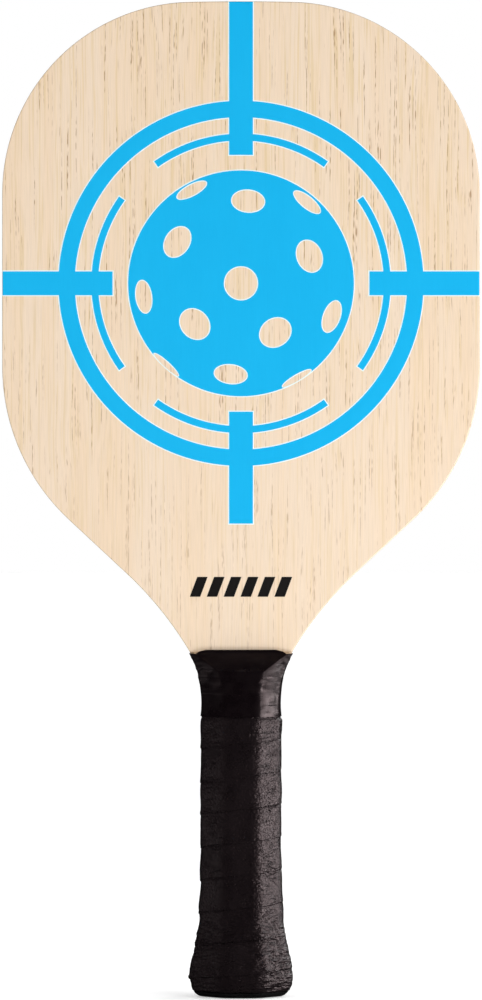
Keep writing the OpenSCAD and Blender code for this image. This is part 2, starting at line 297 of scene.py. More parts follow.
def girth():
    """The length round the wound handle up to each column, and all the way round"""
    points = [on_section(STRAIGHT_Z, GRIP_T, SKIRT_R, column)[:2] for column in COLUMNS]
    along = [0.0]
    for p, q in zip(points, points[1:] + points[:1]):
        along.append(along[-1] + math.dist(p, q))
    return along[:-1], along[-1]


# ---- Mesh making ----

def make_piece(name, points, faces, materials, slots=None, replaces=(), slot=None, sharp=35):
    """A mesh object from points in millimetres that rides on the paddle"""
    mesh = bpy.data.meshes.new(name)
    mesh.from_pydata([Vector(p) * MM for p in points], [], faces)
    for mat in materials:
        mesh.materials.append(mat)
    if slots:
        mesh.polygons.foreach_set("material_index", slots)
    mesh.polygons.foreach_set("use_smooth", [True] * len(mesh.polygons))
    mesh.validate()
    mesh.update()
    mesh.set_sharp_from_angle(angle=math.radians(sharp))
    piece = bpy.data.objects.new(name, mesh)
    bpy.context.scene.collection.objects.link(piece)
    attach(piece, "root")
    if replaces:
        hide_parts(*replaces)
    return piece


def ring_faces(count, rings, closed=False):
    """Quads between stacked rings of count points, the first ring's points coming first"""
    faces = []
    for k in range(rings if closed else rings - 1):
        a, b = k * count, (k + 1) % rings * count
        for i in range(count):
            j = (i + 1) % count
            faces.append((a + i, a + j, b + j, b + i))
    return faces


def make_loft(name, rings, materials, closed=False, **facts):
    """A solid through rings of points, each given anticlockwise from above, going upwards"""
    count = len(rings[0])
    faces = ring_faces(count, len(rings), closed)
    if not closed:
        faces.append(tuple(reversed(range(count))))
        last = (len(rings) - 1) * count
        faces.append(tuple(range(last, last + count)))
    return make_piece(name, [p for ring in rings for p in ring], faces, materials, **facts)


# ---- The printed shapes, as loops of (x, z) points, each grown by some distance ----

def loop(r, count):
    """A circle round the target's middle"""
    return [(r * math.cos(t), TARGET_Z + r * math.sin(t))
            for t in (2 * math.pi * i / count for i in range(count))]


def rectangle(x0, x1, z0, z1):
    return [(x0, z0), (x1, z0), (x1, z1), (x0, z1)]


def thin_arc(middle, grow):
    outer, inner = ARC_R + grow, ARC_R - ARC_W - grow
    half = ARC_HALF_ANGLE + grow / ARC_R
    turns = spread(middle - half, middle + half, math.radians(3))
    return ([(outer * math.cos(t), TARGET_Z + outer * math.sin(t)) for t in turns]
            + [(inner * math.cos(t), TARGET_Z + inner * math.sin(t)) for t in reversed(turns)])


def ball_holes(grow):
    """Holes of a drilled ball seen from the front: one at its pole and rings of five,
    the ball turned a little towards the top"""
    count, parts = 5, 36
    ring_tilts = [math.radians(tilt) for tilt in (39, 62, 84)]
    first_place = math.radians(84)
    lean = math.radians(8)
    hidden = math.radians(80)
    holes = [loop(BALL_HOLE_R - grow, 40)]
    for ring, ring_tilt in enumerate(ring_tilts):
        for i in range(count):
            place = first_place + (i + ring / 2) * 2 * math.pi / count
            tilt = ring_tilt + lean * math.sin(place)
            turn = place + lean * math.cos(place) / math.tan(ring_tilt)
            if tilt > hidden:
                continue
            long, short = BALL_HOLE_R - grow, BALL_HOLE_R * math.cos(tilt) - grow
            centre = BALL_R * math.sin(tilt)
            c, s = math.cos(turn), math.sin(turn)
            points = [(centre + short * math.cos(t), long * math.sin(t))
                      for t in (2 * math.pi * k / parts for k in range(parts))]
            holes.append([(x * c - z * s, TARGET_Z + x * s + z * c) for x, z in points])
    return holes


def target_shapes(grow):
    """Each shape as its outer loop and a list of the loops cut out of it"""
    past = 6
    half = BAR_HALF_W + grow
    start = BAR_START - grow
    side = BLADE_HALF_W + past
    shapes = [
        (loop(BALL_R + grow, 120), ball_holes(grow)),
        (loop(RING_R + grow, 160), [loop(RING_R - RING_W - grow, 160)]),
        (rectangle(start, side, TARGET_Z - half, TARGET_Z + half), []),
        (rectangle(-side, -start, TARGET_Z - half, TARGET_Z + half), []),
        (rectangle(-half, half, TARGET_Z + start, TIP_Z + past), []),
        (rectangle(-half, half, TARGET_Z - BAR_END - grow, TARGET_Z - start), []),
    ]
    return shapes + [(thin_arc(k * math.pi / 2, grow), []) for k in range(4)]


def stripe_shapes():
    count, pitch, width, height, slant = 6, 6.8, 4.2, 8, 3
    shapes = []
    for i in range(count):
        x = (i - (count - 1) / 2) * pitch
        low, high = x - slant / 2, x + slant / 2
        shapes.append(([
            (low - width / 2, STRIPES_Z - height / 2), (low + width / 2, STRIPES_Z - height / 2),
            (high + width / 2, STRIPES_Z + height / 2), (high - width / 2, STRIPES_Z + height / 2)
        ], []))
    return shapes


def fill_face(border):
    """Triangles over the blade's flat face inside its border, and what is printed on each:
    0 for bare wood, 1 undercoat, 2 blue, 3 black"""
    points, loops = [], []

    def add(shape):
        loops.append(list(range(len(points), len(points) + len(shape))))
        points.extend(Vector(p) for p in shape)
        return len(loops) - 1

    add(border)
    prints = []
    for mark, shapes in ((1, target_shapes(UNDERCOAT_W)), (2, target_shapes(0)),
                         (3, stripe_shapes())):
        for outer, cuts in shapes:
            prints.append((mark, add(outer), {add(cut) for cut in cuts}))
    inside_only, tolerance = 1, 0.004
    verts, _, faces, _, _, within = delaunay_2d_cdt(points, [], loops, inside_only, tolerance,
                                                    True)
    triangles, marks = [], []
    for face, inside in zip(faces, within):
        inside = set(inside)
        if 0 not in inside:
            continue
        hits = [mark for mark, outer, cuts in prints if outer in inside and not cuts & inside]
        triangles.append(tuple(face))
        marks.append(max(hits, default=0))
    return [tuple(v) for v in verts], triangles, marks


# ---- Blade ----

EDGE_R = 0.5
EDGE_PARTS = 6
SUPPORT = 0.1
GLUE_GROOVE = 0.06
# How far the inner plies' edges lie inside the outline
CROSS_SUNK = 0.05
LONG_SUNK = 0.0
INK_T = 0.03
# The ink wraps this many parts of the way round the face's rounded edge
INK_EDGE_PARTS = 3


def edge_ring(k):
    """The face ply's k-th ring round its edge: points with their outward normals, at the
    front face. Ring 0 lies on the flat."""
    a = math.pi / 2 * max(0, k - 1) / EDGE_PARTS
    d = EDGE_R + SUPPORT if k == 0 else EDGE_R * (1 - math.sin(a))
    y = -HALF_T + EDGE_R * (1 - math.cos(a))
    return [((x - d * nx, y, z - d * nz), (nx * math.sin(a), -math.cos(a), nz * math.sin(a)))
            for x, z, nx, nz in OUTLINE]


def face_surface():
    """The front face's surface: polygons of (point, normal) pairs, and each one's mark"""
    verts, triangles, marks = fill_face(inset(EDGE_R + SUPPORT))
    flat = [((x, -HALF_T, z), (0.0, -1.0, 0.0)) for x, z in verts]
    polygons = [[flat[i] for i in triangle] for triangle in triangles]
    rings = [edge_ring(k) for k in range(EDGE_PARTS + 2)]
    count = len(OUTLINE)
    bar_marks = [(BAR_HALF_W, 2), (BAR_HALF_W + UNDERCOAT_W, 1)]
    for k in range(EDGE_PARTS + 1):
        for i in range(count):
            j = (i + 1) % count
            polygons.append([rings[k][i], rings[k][j], rings[k + 1][j], rings[k + 1][i]])
            x = (OUTLINE[i][0] + OUTLINE[j][0]) / 2
            z = (OUTLINE[i][1] + OUTLINE[j][1]) / 2
            off = abs(x) if z > TARGET_Z + RING_R else abs(z - TARGET_Z)
            printed = [mark for half, mark in bar_marks if off < half]
            on_bar = k <= INK_EDGE_PARTS and z > TARGET_Z - RING_R and printed
            marks.append(printed[0] if on_bar else 0)
    return polygons, marks


def facing_out(polygon):
    """The polygon's points in the order that makes its front side face along its normals"""
    points = [Vector(p) for p, _ in polygon]
    normal = (points[1] - points[0]).cross(points[2] - points[0])
    return polygon if normal.dot(Vector(polygon[0][1])) > 0 else polygon[::-1]


class Welder:
    """Collects faces and shares the points that they have in common"""

    def __init__(self):
        self.points, self.index, self.faces, self.slots = [], {}, [], []

    def add(self, face, slot=0):
        ids = []
        for p in face:
            key = tuple(round(c, 4) for c in p)
            if key not in self.index:
                self.index[key] = len(self.points)
                self.points.append(tuple(p))
            if self.index[key] not in ids:
                ids.append(self.index[key])
        if len(ids) > 2:
            self.faces.append(tuple(ids))
            self.slots.append(slot)


def turned(face_points, side):
    """Turns a face's points round to the back of the blade when side is 1"""
    if side < 0:
        return face_points
    return [(-x, -y, z) for x, y, z in face_points]


def make_face_ply(name, side, surface, material, node):
    """The outermost ply: printed face, rounded edge, side wall and its glued inner face"""
    polygons, _ = surface
    mesh = Welder()
    for polygon in polygons:
        mesh.add(turned([p for p, _ in facing_out(polygon)], side))
    inner_y = -HALF_T + PLY_T
    wall = [(0, -HALF_T + EDGE_R), (0, inner_y - GLUE_GROOVE), (GLUE_GROOVE, inner_y)]
    rings = [[(x, y, z) for x, z in inset(d)] for d, y in wall]
    for upper, lower in zip(rings, rings[1:]):
        for i in range(len(OUTLINE)):
            j = (i + 1) % len(OUTLINE)
            mesh.add(turned([upper[i], lower[i], lower[j], upper[j]], side))
    mesh.add(turned(list(reversed(rings[-1])), side))
    return make_piece(name, mesh.points, mesh.faces, [material],
                      replaces=[node], slot="face_wood")


def make_inner_ply(name, index, sunk, material, slot, node):
    """A ply between the faces, its edge eased at the glue lines and sunk a little"""
    y0 = -HALF_T + (index - 1) * PLY_T
    y1 = y0 + PLY_T
    profile = [(sunk + GLUE_GROOVE, y0), (sunk, y0 + GLUE_GROOVE),
               (sunk, y1 - GLUE_GROOVE), (sunk + GLUE_GROOVE, y1)]
    rings = [[(x, y, z) for x, z in inset(d)] for d, y in profile]
    count = len(OUTLINE)
    faces = [tuple(reversed(face)) for face in ring_faces(count, len(rings))]
    faces.append(tuple(range(count)))
    last = (len(rings) - 1) * count
    faces.append(tuple(reversed(range(last, last + count))))
    return make_piece(name, [p for ring in rings for p in ring], faces, [material],
                      replaces=[node], slot=slot)


def make_ink(name, side, surface, wanted, materials, node, slot):
    """A film of ink over the polygons with the wanted marks, closed underneath"""
    chosen = [(facing_out(polygon), wanted[mark])
              for polygon, mark in zip(*surface) if mark in wanted]
    sunk = 0.01
    mesh = Welder()
    edges = {}
    for polygon, slot_index in chosen:
        top = [tuple(c + INK_T * n for c, n in zip(p, normal)) for p, normal in polygon]
        bottom = [tuple(c - sunk * n for c, n in zip(p, normal)) for p, normal in polygon]
        mesh.add(turned(top, side), slot_index)
        mesh.add(turned(bottom[::-1], side), slot_index)
        for i in range(len(polygon)):
            j = (i + 1) % len(polygon)
            key = frozenset(tuple(round(c, 3) for c in polygon[m][0]) for m in (i, j))
            wall = [top[i], bottom[i], bottom[j], top[j]]
            if len(key) == 2:
                edges.setdefault(key, []).append((wall, slot_index))
    for walls in edges.values():
        if len(walls) == 1:
            wall, slot_index = walls[0]
            mesh.add(turned(wall, side), slot_index)
    return make_piece(name, mesh.points, mesh.faces, materials, mesh.slots,
                      replaces=[node], slot=slot)


# ---- Grip, tape and butt cap ----

def grip_thickness(z):
    return lookup(z, [(TAPE_BOTTOM_Z - PRESS_RUN, GRIP_T), (TAPE_BOTTOM_Z, GRIP_T - TAPE_T),
                      (GRIP_TOP_Z, GRIP_END_T)])


GRIP_PITCH = 13.2
SEAM_OFFSET = -2.3
SEAM_STEP = 0.26
SEAM_GROOVE = 0.12
SEAM_GROOVE_W = 0.3
# Relief of the crown of each turn, of the broad dents, and of the folds, which reach this far
# from a seam and grow over this length of the butt
PILLOW_H = 0.16
DENT_H = 0.5
FOLD_H = 0.26
FOLD_REACH = 1.6
BUTT_RUN = 8
# The strip climbs less across the front than across the back
CLIMB_SWAY = 0.36


def turn_phases():
    """Heights of the rows in one turn of the grip, close together at the seam"""
    near = [0, 0.008, 0.017, 0.028, 0.042, 0.06, 0.082]
    far = spread(0.105, 0.935, 0.024)
    return near + far + [0.955, 0.973, 0.986, 0.994]


def climb(share):
    """How much of one pitch the strip has climbed after a share of the way round, which
    starts at the first corner and has the middle of the front just before it"""
    front = -0.13
    away = 2 * math.pi * (share - front)
    return share - CLIMB_SWAY * (math.sin(away) - math.sin(-2 * math.pi * front)) / (2 * math.pi)


def wound_noise(p, along, across, steady, seed):
    """Noise stretched along the winding: blob sizes along and across it, and up the handle"""
    x, y, z = p
    turn = 2 * math.pi * z / GRIP_PITCH - math.atan2(x, -y)
    r = GRIP_PITCH / (2 * math.pi) / across
    return noise.noise(Vector((x / along + r * math.cos(turn), y / along + r * math.sin(turn),
                               z / steady + seed)))


def grip_relief(phase, p):
    """How far the wound strip's surface lies above its mean"""
    x, y, z = p
    beside = min(phase, 1 - phase) * GRIP_PITCH
    uneven = 0.75 + 0.8 * noise.noise(Vector((x / 4, y / 4, z / 9)))
    overlap = SEAM_STEP * smooth(phase / 0.03) * (1 - phase) ** 1.3
    groove = -SEAM_GROOVE * uneven * math.exp(-(beside / SEAM_GROOVE_W) ** 2)
    pillow = PILLOW_H * math.sin(math.pi * phase)
    dents = DENT_H * noise.noise(Vector((x / 12, y / 12, z / 9 + 20)))
    butt = smooth((CAP_SKIRT_Z - z) / BUTT_RUN)
    creased = 0.1 + 0.9 * butt + 0.8 * math.exp(-(beside / FOLD_REACH) ** 2)
    folds = wound_noise(p, 16, 1.5, 12, 0) + 0.7 * wound_noise(p, 11, 0.85, 9, 40)
    seam = (overlap + groove) * (1 + 0.4 * butt)
    return seam + pillow + dents * (1 - 0.5 * butt) + FOLD_H * creased * folds - SEAM_STEP / 2


def make_grip(material):
    """The strip wound up the handle: its rows follow the winding, and it closes inside"""
    along, around = girth()
    phases = turn_phases()
    low_z, high_z = GRIP_BOTTOM_Z, GRIP_TOP_Z
    first = math.floor((low_z - GRIP_PITCH - SEAM_OFFSET) / GRIP_PITCH)
    last = math.ceil((high_z - SEAM_OFFSET) / GRIP_PITCH)
    rows = [(SEAM_OFFSET + (turn + phase) * GRIP_PITCH, phase)
            for turn in range(first, last + 1) for phase in phases]
    count = len(COLUMNS)
    points, index = [], {}
    edge_r = 0.5

    def vertex(i, j):
        if i == count:
            i, j = 0, j + len(phases)
        level, phase = rows[min(j, len(rows) - 1)]
        z = level + GRIP_PITCH * climb(along[i] / around)
        z = min(max(z, low_z), high_z)
        key = (i, z) if z in (low_z, high_z) else (i, j)
        if key not in index:
            grow = grip_thickness(z) + flare(z)
            x, y, nx, ny = on_section(z, grow, WOUND_R, COLUMNS[i])
            ease = smooth((TAPE_BOTTOM_Z - z) / 2)
            lift = grip_relief(phase, (x, y, z)) * ease
            up = min(1.0, (z - low_z) / edge_r)
            lift -= edge_r * (1 - math.sqrt(1 - (1 - up) ** 2))
            index[key] = len(points)
            points.append((x + nx * lift, y + ny * lift, z))
        return index[key]

    faces = []
    for i in range(count):
        for j in range(len(rows) - 1 - len(phases) * (i == count - 1)):
            corners = (vertex(i, j), vertex(i + 1, j), vertex(i + 1, j + 1), vertex(i, j + 1))
            face = tuple(dict.fromkeys(corners))
            if len(face) > 2:
                faces.append(face)
    skirt_top = CAP_SKIRT_Z + 4 * LAYER_GAP
    heights = [low_z] + spread(low_z + 1, skirt_top, 2)
    heights += [skirt_top + 0.1, STRAIGHT_Z, TAPE_BOTTOM_Z, high_z]
    rings = []
    for z in heights:
        grow = flare(z) if z <= skirt_top else LAYER_GAP
        r = SKIRT_R if z <= skirt_top else BARE_R
        rings.append([on_section(z, grow, r, column)[:2] + (z,) for column in COLUMNS])
    start = len(points)
    points += [p for ring in rings for p in ring]
    faces += [tuple(start + n for n in reversed(face)) for face in ring_faces(count, len(rings))]
    top_ring = start + (len(rings) - 1) * count
    for i in range(count):
        j = (i + 1) % count
        faces.append((index[(i, low_z)], start + i, start + j, index[(j, low_z)]))
        faces.append((top_ring + i, index[(i, high_z)], index[(j, high_z)], top_ring + j))
    return make_piece("cushion_grip", points, faces, [material], replaces=["grip_wrap"],
                      slot="cushion_grip", sharp=60)


# Heights of the edges of the tape's turns, and how much each edge adds to its thickness
TAPE_EDGES = [(122.1, 0.05), (126.1, 0.05), (128.3, -0.05), (131.7, -0.05)]
TAPE_FIRST_T = 0.36
# How far the topmost edge drops at its ends, and where across the neck that starts and ends
TAPE_DROP = 1.6
TAPE_DROP_X = (16, 20)
# Relief of the tape's slack, ripples and bulge between corners, and of its puckers at the neck's
# sides, which begin at a height
SLACK_H = 0.22
RIPPLE_H = 0.02
CROWN_H = 0.2
PUCKER_H = 0.28
PUCKER_Z = 125
# Places where the tape is pinched in: across, height, half sizes and depth
PINCHES = [(12.6, 117.6, 2.0, 0.45, 0.26), (9.6, 126.4, 2.2, 0.8, 0.16)]


def under_tape(z):
    if z <= GRIP_TOP_Z:
        return grip_thickness(z) + LAYER_GAP
    return lookup(z, [(GRIP_TOP_Z, GRIP_END_T + LAYER_GAP), (RAMP_Z, LAYER_GAP)])


def tape_r(z):
    """The tape's corners are softer round the grip than down on the wood"""
    return lookup(z, [(TAPE_BOTTOM_Z, 6.0), (GRIP_TOP_Z, 4.0), (RAMP_Z, 2.0),
                      (RAMP_TOP_Z - 3, 1.0)])


def make_tape(material):
    """Three turns of tape, one over another, wound round the throat"""
    step = 0.16
    levels = spread(TAPE_BOTTOM_Z, TAPE_TOP_Z, 0.4)
    levels = [z for z in levels if all(abs(z - edge) > 2 * step for edge, _ in TAPE_EDGES)]
    levels = sorted(levels + [edge + d for edge, _ in TAPE_EDGES for d in (-step, step)])

    def sway(x, y, level):
        """Turns don't lie level, and the topmost edge drops over the neck's edges"""
        lean = 0.4 * math.sin(level * 1.9 + x / 9) * smooth((TAPE_TOP_Z - level) / 6)
        start, end = TAPE_DROP_X
        share = min(1.0, max(0.0, (abs(x) - start) / (end - start)))
        drop = TAPE_DROP * share * smooth((level - RAMP_Z) / (RAMP_TOP_Z - RAMP_Z))
        return lean * smooth((level - TAPE_BOTTOM_Z) / 6) - drop

    def thickness(level):
        return TAPE_FIRST_T + sum(add for edge, add in TAPE_EDGES if level > edge)

    def relief(x, y, z):
        """Slack where the tape bridges the soft grip, and puckers at the neck's sides"""
        slack = SLACK_H * noise.noise(Vector((x / 6, y / 6, z / 7)))
        slack += RIPPLE_H * noise.noise(Vector((x / 5, y / 5, z / 1.8 + 9)))
        for at_x, at_z, half_w, half_h, depth in PINCHES:
            off = ((x - at_x) / half_w) ** 2 + ((z - at_z) / half_h) ** 2
            slack -= depth * math.exp(-off) if y < 0 else 0.0
        side = smooth((abs(x) / neck_half_w(z) - 0.72) / 0.2)
        pucker = side * smooth((z - PUCKER_Z) / 6) * smooth((TAPE_TOP_Z - z) / 3)
        return slack + PUCKER_H * pucker * noise.noise(Vector((x / 4, y / 2.2, z / 1.3)))

    def crown(column):
        """Between its corners the tape bulges with the soft grip under it"""
        _, on_side, t = column
        return CROWN_H * (1 - (2 * t - 1) ** 2) if on_side else 0.0

    outer, inner = [], []
    for level in levels:
        out_ring, in_ring = [], []
        for column in COLUMNS:
            x, y, _, _ = on_section(level, GRIP_T, tape_r(level), column)
            z = level + sway(x, y, level)
            grow = under_tape(z)
            x, y, nx, ny = on_section(z, grow + thickness(level), tape_r(z), column)
            lift = relief(x, y, z) + crown(column)
            out_ring.append((x + nx * lift, y + ny * lift, z))
            in_ring.append(on_section(z, grow, min(tape_r(z), 1.6), column)[:2] + (z,))
        outer.append(out_ring)
        inner.append(in_ring)
    return make_loft("throat_tape", outer + inner[::-1], [material], closed=True,
                     replaces=["finishing_tape"], slot="tape_vinyl", sharp=50)


def make_cap(material):
    """The butt cap: a ring groove in its end, a rounded lip, the skirt and the cup inside"""
    groove_z = 0.35
    end_rings = [(0, -5.0), (0, -3.4), (0.05, -3.1), (groove_z, -2.8), (groove_z, -2.2),
                 (0.05, -1.9), (0, -1.6)]
    rings = [(z, grow, WOUND_R) for z, grow in end_rings]
    rings += [(z, GRIP_T + flare(z), WOUND_R) for z in spread(0, 1.2, 0.15)]
    rings += [(z, GRIP_T + flare(z), WOUND_R) for z in spread(1.5, GRIP_BOTTOM_Z - 0.45, 0.3)]
    rings.append((GRIP_BOTTOM_Z - 0.2, GRIP_T + flare(GRIP_BOTTOM_Z) - 0.2, WOUND_R))
    skirt = [GRIP_BOTTOM_Z - LAYER_GAP] + spread(GRIP_BOTTOM_Z + 1, CAP_SKIRT_Z, 2)
    rings += [(z, flare(z) - LAYER_GAP, SKIRT_R) for z in skirt]
    rings += [(CAP_SKIRT_Z, CAP_GAP, BARE_R), (CAP_FLOOR_T, CAP_GAP, BARE_R)]
    lofted = [[on_section(z, grow, r, column)[:2] + (z,) for column in COLUMNS]
              for z, grow, r in rings]
    return make_loft("butt_cap_moulding", lofted, [material], replaces=["butt_cap"],
                     slot="cap_plastic")


# ---- Materials ----

class Look:
    """A node material: node() adds a node and takes its inputs by name or number"""

    def __init__(self, name, roughness=0.5, **settings):
        self.material = bpy.data.materials.new(name)
        self.material.use_nodes = True
        self.tree = self.material.node_tree
        self.shader = self.tree.nodes["Principled BSDF"]
        self.shader.inputs["Roughness"].default_value = roughness
        for key, value in settings.items():
            self.shader.inputs[key.replace("_", " ")].default_value = value
        self.position = self.node("ShaderNodeTexCoord").outputs["Object"]

    def node(self, kind, inputs=None, **settings):
        made = self.tree.nodes.new(kind)
        for key, value in settings.items():
            setattr(made, key, value)
        for key, value in (inputs or {}).items():
            self.join(value, made.inputs[key])
        return made

    def join(self, value, socket):
        if isinstance(value, bpy.types.NodeSocket):
            self.tree.links.new(value, socket)
        else:
            socket.default_value = value

    def noise(self, size, detail=2.0, rough=0.5, position=None):
        """Noise whose blobs are about size millimetres along X, Y and Z"""
        scale = tuple(1 / (s * MM) for s in size)
        mapped = self.node("ShaderNodeMapping",
                           {"Vector": position or self.position, "Scale": scale})
        made = self.node("ShaderNodeTexNoise",
                         {"Vector": mapped.outputs[0], "Scale": 1.0, "Detail": detail,
                          "Roughness": rough})
        return made.outputs["Fac"]

    def height(self):
        """Metres above the butt"""
        return self.node("ShaderNodeSeparateXYZ", {0: self.position}).outputs[2]

    def math(self, operation, a, b=0.0, clamp=False):
        made = self.node("ShaderNodeMath", {0: a, 1: b}, operation=operation, use_clamp=clamp)
        return made.outputs[0]

    def range(self, value, low, high, to_low=0.0, to_high=1.0):
        made = self.node("ShaderNodeMapRange",
                         {"Value": value, "From Min": low, "From Max": high,
                          "To Min": to_low, "To Max": to_high}, interpolation_type="SMOOTHSTEP")
        return made.outputs[0]

    def mix(self, factor, a, b, blend="MIX"):
        made = self.node("ShaderNodeMix", data_type="RGBA", blend_type=blend)
        self.join(factor, made.inputs[0])
        self.join(a, made.inputs[6])
        self.join(b, made.inputs[7])
        return made.outputs[2]

    def colour(self, value):
        self.join(value, self.shader.inputs["Base Color"])

    def roughness(self, value):
        self.join(value, self.shader.inputs["Roughness"])

    def bump(self, height, depth, after=None):
        """Relief of about depth millimetres for a height that runs from 0 to 1"""
        inputs = {"Height": height, "Distance": depth * MM, "Strength": 1.0}
        if after:
            inputs["Normal"] = after
        made = self.node("ShaderNodeBump", inputs)
        self.join(made.outputs[0], self.shader.inputs["Normal"])
        return made.outputs[0]


def rgb(r, g, b):
    return (r, g, b, 1.0)


def along_grain(size, axis):
    """A size whose second number runs along the grain: Z on a long ply, X on a cross ply"""
    across, length = size
    return (length, across, across) if axis == "X" else (across, across, length)


def painted_edge_shade(look):
    """1 where the surface faces away from the board's faces, on its rounded edge: a mask for
    painted shade that greys and darkens the edge
    """
    normal = look.node("ShaderNodeTexCoord").outputs["Normal"]
    facing = look.math("ABSOLUTE", look.node("ShaderNodeSeparateXYZ", {0: normal}).outputs[1])
    return look.range(facing, 0.95, 0.6)


# The wood's figure is faint up to the first of these heights and full from the second
PLAIN_Z = 130
FIGURED_Z = 350


def wood_look(name, axis, pale, warm, dark, pore, pore_share, gloss):
    """Veneer: broad bands, fibres, streaks and strung pores, plainer towards its low end"""
    look = Look(name, roughness=gloss)
    drift = look.noise(along_grain((16, 60), axis), 1)
    sway = look.math("MULTIPLY", look.math("SUBTRACT", drift, 0.5), 3.0 * MM)
    shift = look.node("ShaderNodeCombineXYZ", {0: sway, 1: sway, 2: sway}).outputs[0]
    bent = look.node("ShaderNodeVectorMath", {0: look.position, 1: shift}).outputs[0]
    bands = look.noise(along_grain((9, 160), axis), 2, position=bent)
    streaks = look.noise(along_grain((0.7, 50), axis), 2, position=bent)
    fibres = look.noise(along_grain((0.3, 14), axis), 2, 0.6, position=bent)
    colour = look.mix(look.range(bands, 0.35, 0.68), rgb(*pale), rgb(*warm))
    figure = look.range(look.height(), PLAIN_Z * MM, FIGURED_Z * MM, 0.5, 1.0)
    streaked = look.math("MULTIPLY", look.range(streaks, 0.5, 0.68, 0, 0.78), figure)
    colour = look.mix(streaked, colour, rgb(*dark))
    shade = look.range(fibres, 0.25, 0.75, 0.95, 1.03)
    grey = look.node("ShaderNodeCombineColor", {0: shade, 1: shade, 2: shade}).outputs[0]
    colour = look.mix(1.0, colour, grey, "MULTIPLY")
    vessels = look.noise(along_grain((0.52, 45), axis), 0, position=bent)
    gaps = look.noise(along_grain((0.45, 3.6), axis), 1)
    sparse = look.noise(along_grain((7, 40), axis), 1)
    cut = look.math("SUBTRACT", 0.795 - 0.03 * pore_share, look.math("MULTIPLY", sparse, 0.24))
    lines = look.math("MULTIPLY", look.math("SUBTRACT", vessels, cut), 11.0, clamp=True)
    pores = look.math("MULTIPLY", lines, look.range(gaps, 0.4, 0.62))
    pores = look.math("MULTIPLY", pores, figure)
    colour = look.mix(look.math("MULTIPLY", pores, 0.8), colour, rgb(*pore))
    # Painted shade: the colour is greyed and darkened where the surface faces away from the board's
    # faces
    look.colour(look.mix(painted_edge_shade(look), colour, rgb(0.60, 0.59, 0.58), "MULTIPLY"))
    look.roughness(look.range(fibres, 0.2, 0.8, gloss - 0.05, gloss + 0.08))
    first = look.bump(fibres, 0.015)
    look.bump(look.math("SUBTRACT", 1.0, pores), 0.03, first)
    return look


def face_wood():
    look = wood_look("face_veneer", "Z", (0.835, 0.675, 0.52), (0.83, 0.65, 0.475),
                     (0.76, 0.58, 0.34), (0.36, 0.20, 0.08), 0.6, 0.5)
    look.shader.inputs["Specular IOR Level"].default_value = 0.35
    return look.material


def long_wood():
    return wood_look("long_ply", "Z", (0.70, 0.52, 0.35), (0.66, 0.47, 0.30),
                     (0.58, 0.40, 0.24), (0.32, 0.20, 0.11), 1.2, 0.62).material


def cross_wood():
    return wood_look("cross_ply", "X", (0.50, 0.34, 0.20), (0.44, 0.29, 0.165),
                     (0.36, 0.23, 0.13), (0.17, 0.10, 0.055), 1.8, 0.72).material


def handle_wood():
    return wood_look("handle_block", "Z", (0.62, 0.45, 0.29), (0.58, 0.40, 0.25),
                     (0.50, 0.34, 0.20), (0.28, 0.17, 0.09), 1.0, 0.66).material


def ink_look(name, colour, faint, gloss, specular):
    """A thin even film: the veneer's fibres show through as slight relief and tone"""
    look = Look(name, roughness=gloss, Specular_IOR_Level=specular)
    fibres = look.noise((0.3, 0.3, 9), 2, 0.6)
    patches = look.noise((14, 14, 30), 2)
    tone = look.math("ADD", look.math("MULTIPLY", fibres, 0.5), look.math("MULTIPLY", patches, 0.5))
    look.colour(look.mix(look.range(tone, 0.3, 0.7), rgb(*colour), rgb(*faint)))
    look.roughness(look.range(fibres, 0.2, 0.8, gloss - 0.04, gloss + 0.06))
    look.bump(fibres, 0.012)
    return look.material


WARM_SHEEN = (1.0, 0.73, 0.74, 1.0)


def wound_noise_node(look, along, across, steady):
    """The shader's form of noise stretched along the winding"""
    axes = look.node("ShaderNodeSeparateXYZ", {0: look.position}).outputs
    angle = look.math("ARCTAN2", axes[0], look.math("MULTIPLY", axes[1], -1.0))
    turns = look.math("MULTIPLY", axes[2], 2 * math.pi / (GRIP_PITCH * MM))
    turn = look.math("SUBTRACT", turns, angle)
    r = GRIP_PITCH / (2 * math.pi) / across
    scale = 1 / (along * MM)
    parts = []
    for wave, axis in (("COSINE", 0), ("SINE", 1)):
        wound = look.math("MULTIPLY", look.math(wave, turn), r)
        parts.append(look.math("ADD", look.math("MULTIPLY", axes[axis], scale), wound))
    parts.append(look.math("MULTIPLY", axes[2], 1 / (steady * MM)))
    place = look.node("ShaderNodeCombineXYZ", dict(enumerate(parts))).outputs[0]
    return look.node("ShaderNodeTexNoise", {"Vector": place, "Scale": 1.0, "Detail": 1.5,
                                            "Roughness": 0.5}).outputs["Fac"]


